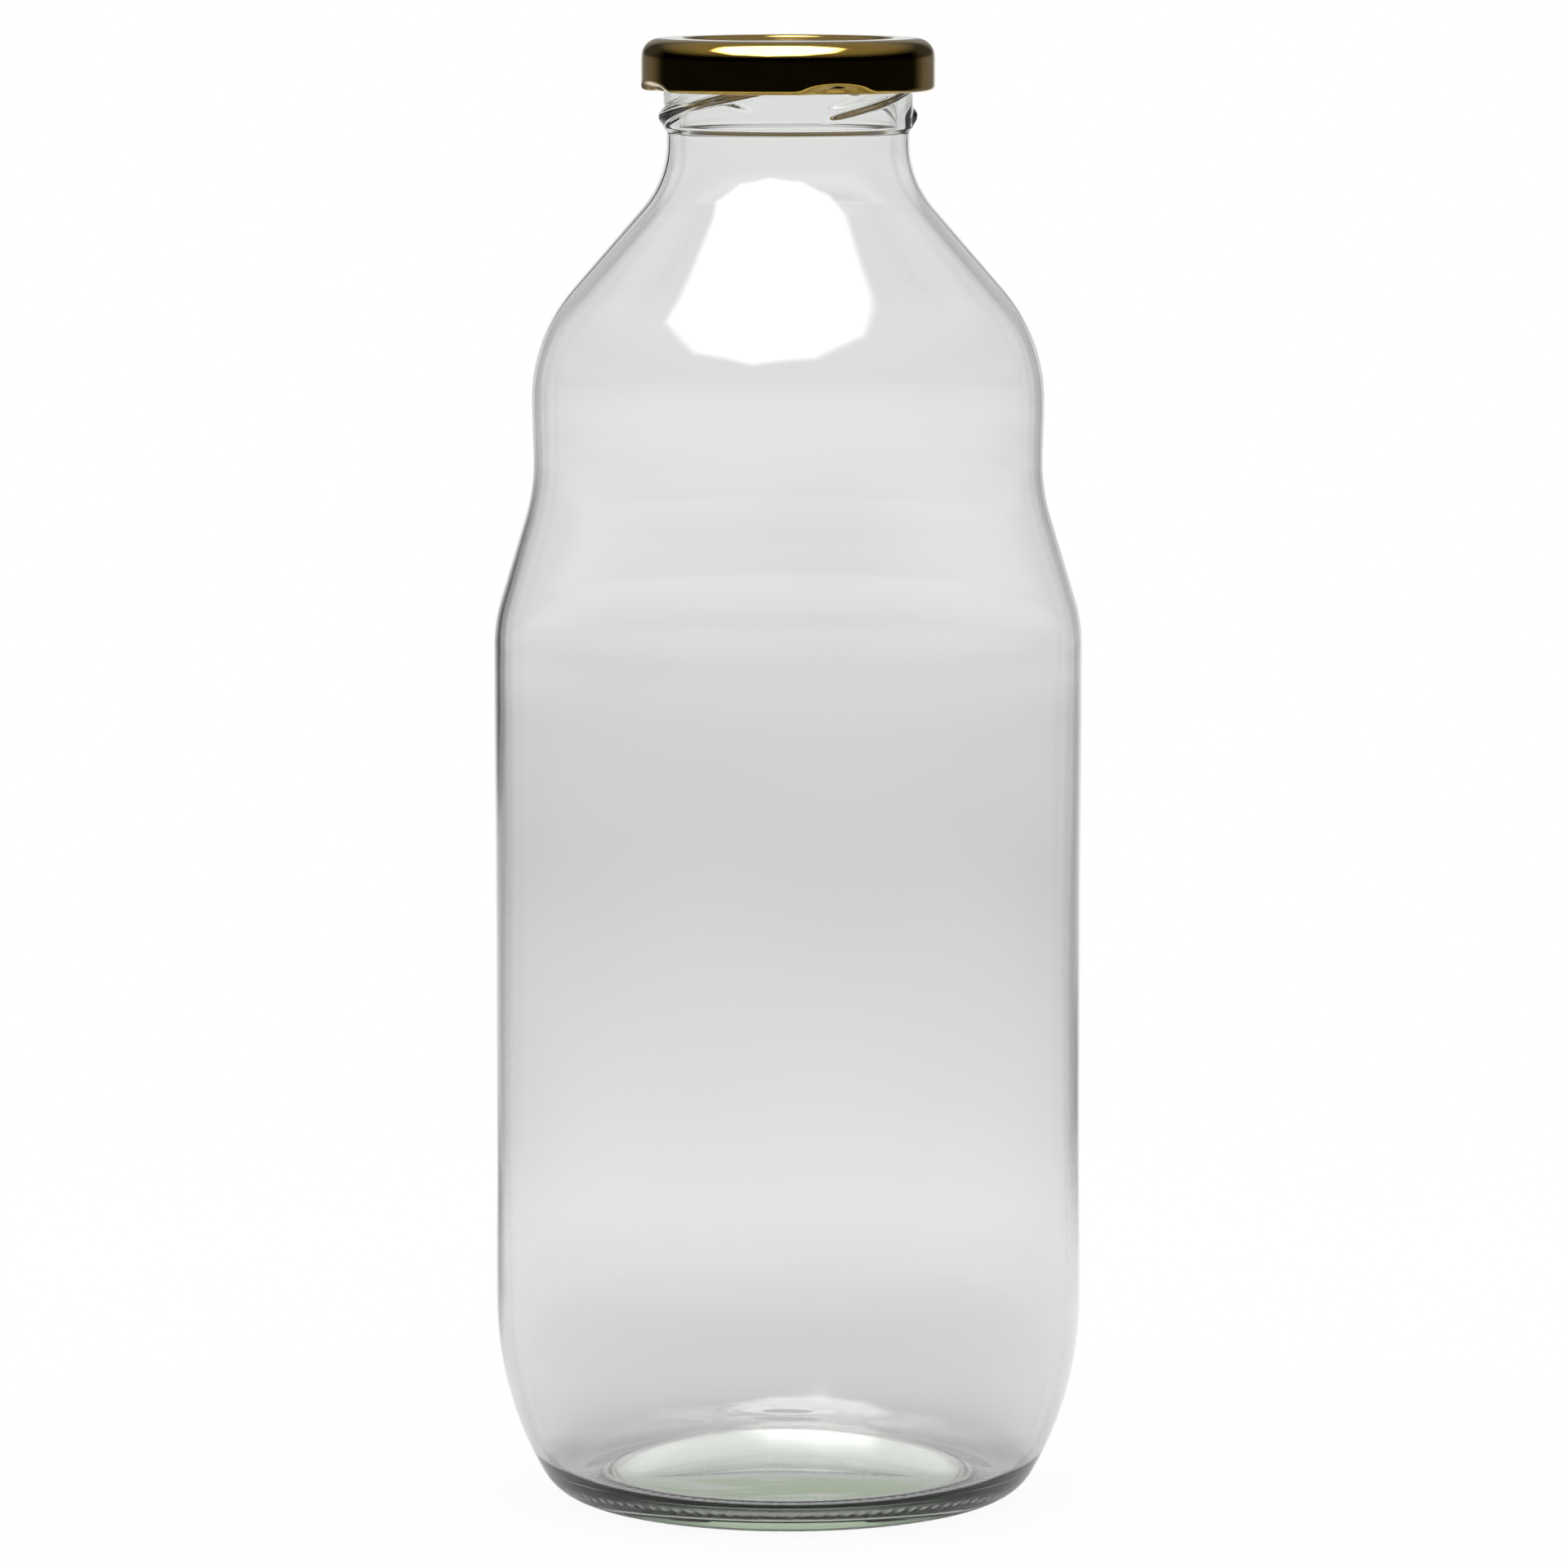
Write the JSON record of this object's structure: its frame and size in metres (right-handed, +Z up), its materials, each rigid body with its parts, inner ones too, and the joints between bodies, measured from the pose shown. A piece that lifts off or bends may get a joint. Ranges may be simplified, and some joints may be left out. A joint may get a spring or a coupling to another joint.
{
  "type": "milk bottle",
  "caption": "Clear glass milk bottle with a tapered shoulder and a gold twist-off metal cap lined with a sealing ring.",
  "frame": {"origin": "middle of the base, on the surface that the bottle stands on", "axes": "+Z up along the bottle's axis to the cap; the front, which faces -Y, is a convention, because the bottle is round"},
  "size_m": [0.092, 0.092, 0.2293],
  "materials": {
    "glass": "clear soda-lime glass, fire polished",
    "cap_metal": "tinplate under a glossy gold lacquer",
    "seal": "cast-in soft sealing compound, satin"
  },
  "bodies": {
    "bottle": {"glass_bottle": "glass"},
    "lift": {"sealing_ring": "seal"},
    "cap": {"cap_shell": "cap_metal"}
  },
  "joints": [
    {"name": "cap_lift", "type": "slide", "parent": "bottle", "child": "lift", "axis": [0, 0, 1], "range_m": [0, 0.0133]},
    {"name": "cap_turn", "type": "hinge", "parent": "lift", "child": "cap", "pos_m": [0, 0, 0.2249], "axis": [0, 0, 1], "range_deg": [0, 180]}
  ],
  "couplings": [
    {"joint": "cap_lift", "follows": "cap_turn", "m_per_rad": 0.0042176}
  ]
}
